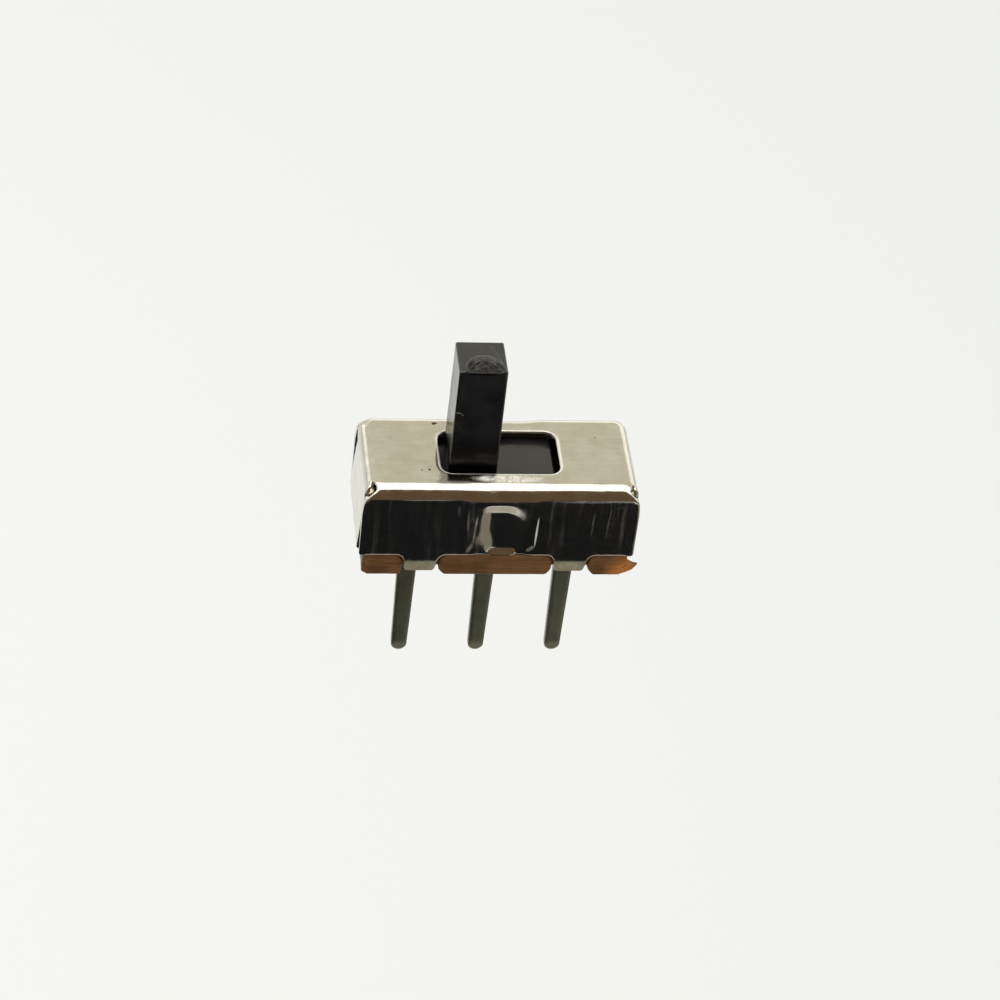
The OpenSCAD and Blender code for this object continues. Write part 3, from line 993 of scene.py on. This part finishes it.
def black_moulding():
    """Glossy black moulding with a pale scratch on the front, dead black where the gate tore: matt

    from the tear, and darkened further as painted shade of a deep recess. A share of metal with a black
    base takes gloss away: at the gate; as painted shade toward the foot of the handle; and as a painted
    contact shadow on the strip of block next to its left face.
    """
    m = Nodes("black_moulding")
    where = m.place()
    x, _, z = m.axes(where)
    cloud = m.noise(where, 2.0, 4, 0.6)
    black = m.ramp(cloud, (0.3, (0.006, 0.006, 0.0065)), (0.8, (0.012, 0.012, 0.0125)))
    for place, size in [*SCRATCH, GRAIN]:
        black = m.mix(m.spot(where, place, size), black, (0.14, 0.14, 0.135, 1))
    squash = (1.0, 0.8, 4.0)
    gate = [a * b for a, b in zip((SLIDER_X + GATE_X, -HANDLE_HALF, HANDLE_TOP), squash)]
    torn = m.spot(m.place(squash), gate, 0.62, 0.12)
    # At the gate a metal share darkens the tear: partly its matt surface, partly painted shade of the
    # recess
    pitted_and_shaded = m.times(torn, m.spread(m.noise(where, 6.0, 3, 0.6), 0.35, 0.62, 0.95, 0.25))
    above = m.spread(z, BLOCK_TOP + 0.02, BLOCK_TOP + 0.08, 0.0, 1.0)
    # Painted shade: a metal share darkens the handle toward the cover's window
    root_shade = m.times(m.spread(z, 5.0, 3.8, 0.0, 0.8), above)
    # Painted contact shadow on the strip of block next to the handle's left face
    strip = m.maths("SUBTRACT", x, SLIDER_X - HANDLE_HALF - 0.12)
    slit_shade = m.times(m.within(strip, 0.11, 0.06, 0.8), m.maths("SUBTRACT", 1.0, above))
    coarse = m.bump(m.noise(where, 2.2, 2, 0.5), 0.006)
    return m.finish(Base_Color=black,
                    Metallic=m.maths("MAXIMUM", m.maths("MAXIMUM", pitted_and_shaded, root_shade), slit_shade),
                    Roughness=m.spread(cloud, 0.3, 0.8, 0.17, 0.27),
                    Specular_IOR_Level=0.8,
                    Normal=m.bump(m.noise(where, 26.0, 3, 0.6), 0.0008, below=coarse))


def tin_plate():
    """Dull greenish tin with faint drawing marks down the pins."""
    m = Nodes("tin_plate")
    cloud = m.noise(m.place(), 1.8, 4, 0.6)
    drawn = m.noise(m.place((1.0, 1.0, 0.15)), 12.0, 3, 0.6)
    return m.finish(Base_Color=m.ramp(cloud, (0.3, (0.30, 0.31, 0.23)), (0.75, (0.35, 0.36, 0.275))),
                    Metallic=1.0,
                    Roughness=m.spread(cloud, 0.3, 0.8, 0.36, 0.44),
                    Normal=m.bump(drawn, 0.002))


def spring_bronze():
    """Bright spring bronze, drawn lengthways."""
    m = Nodes("spring_bronze")
    grain = m.noise(m.place((0.2, 1.0, 1.0)), 20.0, 3, 0.6)
    return m.finish(Base_Color=m.ramp(grain, (0.3, (0.45, 0.24, 0.1)), (0.8, (0.6, 0.36, 0.18))),
                    Metallic=1.0,
                    Roughness=0.28,
                    Normal=m.bump(grain, 0.001))


build_cover(nickel_plate())
build_board(paper_laminate())
build_slider(black_moulding())
build_clip(spring_bronze())
TIN = tin_plate()
for name, node, centre in zip(("pin_left", "pin_common", "pin_right"), TERMINALS, PIN_PLACES):
    build_terminal(name, node, centre, TIN)


# ---------------------------------------------------------------- stage, light and camera

LOOKED_AT = Vector((0, 0, 2.0))  # what the cards and the camera face, in millimetres


def towards(azimuth, elevation):
    """A direction from the object; azimuth 0 is the front, and 90 the right."""
    a, e = math.radians(azimuth), math.radians(elevation)
    return Vector((math.sin(a) * math.cos(e), -math.cos(a) * math.cos(e), math.sin(e)))


def stage_plane(name, centre, facing, size, colour, glow=0.0, seen=False):
    """A flat rectangle of the stage that faces a point; lengths in millimetres.

    One that isn't seen shows only in reflections.
    """
    half_w, half_h = size[0] * MM / 2, size[1] * MM / 2
    mesh = bpy.data.meshes.new(name)
    mesh.from_pydata([(-half_w, -half_h, 0), (half_w, -half_h, 0), (half_w, half_h, 0),
                      (-half_w, half_h, 0)], [], [(0, 1, 2, 3)])
    plane = bpy.data.objects.new(name, mesh)
    bpy.context.scene.collection.objects.link(plane)
    plane.location = centre * MM
    plane.rotation_mode = "QUATERNION"
    plane.rotation_quaternion = (facing - centre).to_track_quat("Z", "Y")
    material = bpy.data.materials.new(name)
    material.use_nodes = True
    shader = next(n for n in material.node_tree.nodes if n.type == "BSDF_PRINCIPLED")
    shader.inputs["Base Color"].default_value = (*colour, 1)
    shader.inputs["Roughness"].default_value = 0.9
    shader.inputs["Specular IOR Level"].default_value = 0.0
    if glow:
        shader.inputs["Emission Color"].default_value = (*colour, 1)
        shader.inputs["Emission Strength"].default_value = glow
    mesh.materials.append(material)
    plane.visible_camera = seen
    plane.visible_shadow = seen
    plane.visible_diffuse = seen


def card(name, azimuth, elevation, distance, size, colour, glow=0.0):
    """A card seen only in reflections, square to a direction from the object."""
    centre = LOOKED_AT + distance * towards(azimuth, elevation)
    stage_plane(name, centre, LOOKED_AT, size, colour, glow)


FLOOR_Z = -70
stage_plane("floor", Vector((0, 0, FLOOR_Z)), Vector((0, 0, 0)), (6000, 6000), (0.75, 0.755, 0.735),
            seen=True)

# What the front wall, its hollow, the folds and the top panel mirror: each card's azimuth and
# elevation in degrees, then its distance, size and colour
card("dark_card", -26, -42, 60, (88, 47), (0.010, 0.0105, 0.012))
card("side_card", 45, -43, 80, (64, 44), (0.24, 0.22, 0.185))
card("under_card", -10, -88, 62, (130, 52), (0.44, 0.41, 0.365))
card("olive_card", 95, -30, 60, (60, 70), (0.05, 0.048, 0.03))
card("left_card", -100, -42, 80, (90, 50), (0.045, 0.045, 0.042))
card("brown_card", -5, 17, 62, (230, 100), (0.155, 0.101, 0.060))
card("beige_card", 172, 48, 80, (190, 82), (0.75, 0.71, 0.61), glow=0.2)
card("back_light", 170, 5, 90, (240, 42), (1.0, 0.985, 0.93), glow=0.5)
card("strip_light", 0, 78, 84, (220, 88), (1.0, 0.99, 0.96), glow=1.3)

world = bpy.data.worlds.new("studio")
bpy.context.scene.world = world
world.use_nodes = True
background = world.node_tree.nodes["Background"]
background.inputs["Color"].default_value = (0.93, 0.935, 0.92, 1)
background.inputs["Strength"].default_value = 0.95

# A soft key light, high up on the left
KEY_PLACE = Vector((-120, 60, 260))
KEY_SIZE = 240
key_data = bpy.data.lights.new("key", "AREA")
key_data.energy = 0.5
key_data.shape = "SQUARE"
key_data.size = KEY_SIZE * MM
key = bpy.data.objects.new("key", key_data)
bpy.context.scene.collection.objects.link(key)
key.location = KEY_PLACE * MM
key.rotation_mode = "QUATERNION"
key.rotation_quaternion = (-KEY_PLACE).to_track_quat("-Z", "Y")

# The camera's direction and roll in degrees, its distance, lens and shift
AZIMUTH = -10.276
ELEVATION = 40.738
ROLL = Matrix.Rotation(math.radians(7.143), 4, "Z").to_quaternion()
DISTANCE = 108.0
LENS = 124.51
SENSOR = 36
SHIFT_X = 0.0056
SHIFT_Y = -0.0121

back = towards(AZIMUTH, ELEVATION)
camera_data = bpy.data.cameras.new("camera")
camera_data.lens = LENS
camera_data.sensor_width = SENSOR
camera_data.shift_x = SHIFT_X
camera_data.shift_y = SHIFT_Y
camera_data.clip_start = 0.005
camera_data.clip_end = 20
camera = bpy.data.objects.new("camera", camera_data)
bpy.context.scene.collection.objects.link(camera)
camera.location = (LOOKED_AT + back * DISTANCE) * MM
camera.rotation_mode = "QUATERNION"
camera.rotation_quaternion = (-back).to_track_quat("-Z", "Y") @ ROLL
bpy.context.scene.camera = camera

bpy.context.scene.view_settings.view_transform = "Standard"
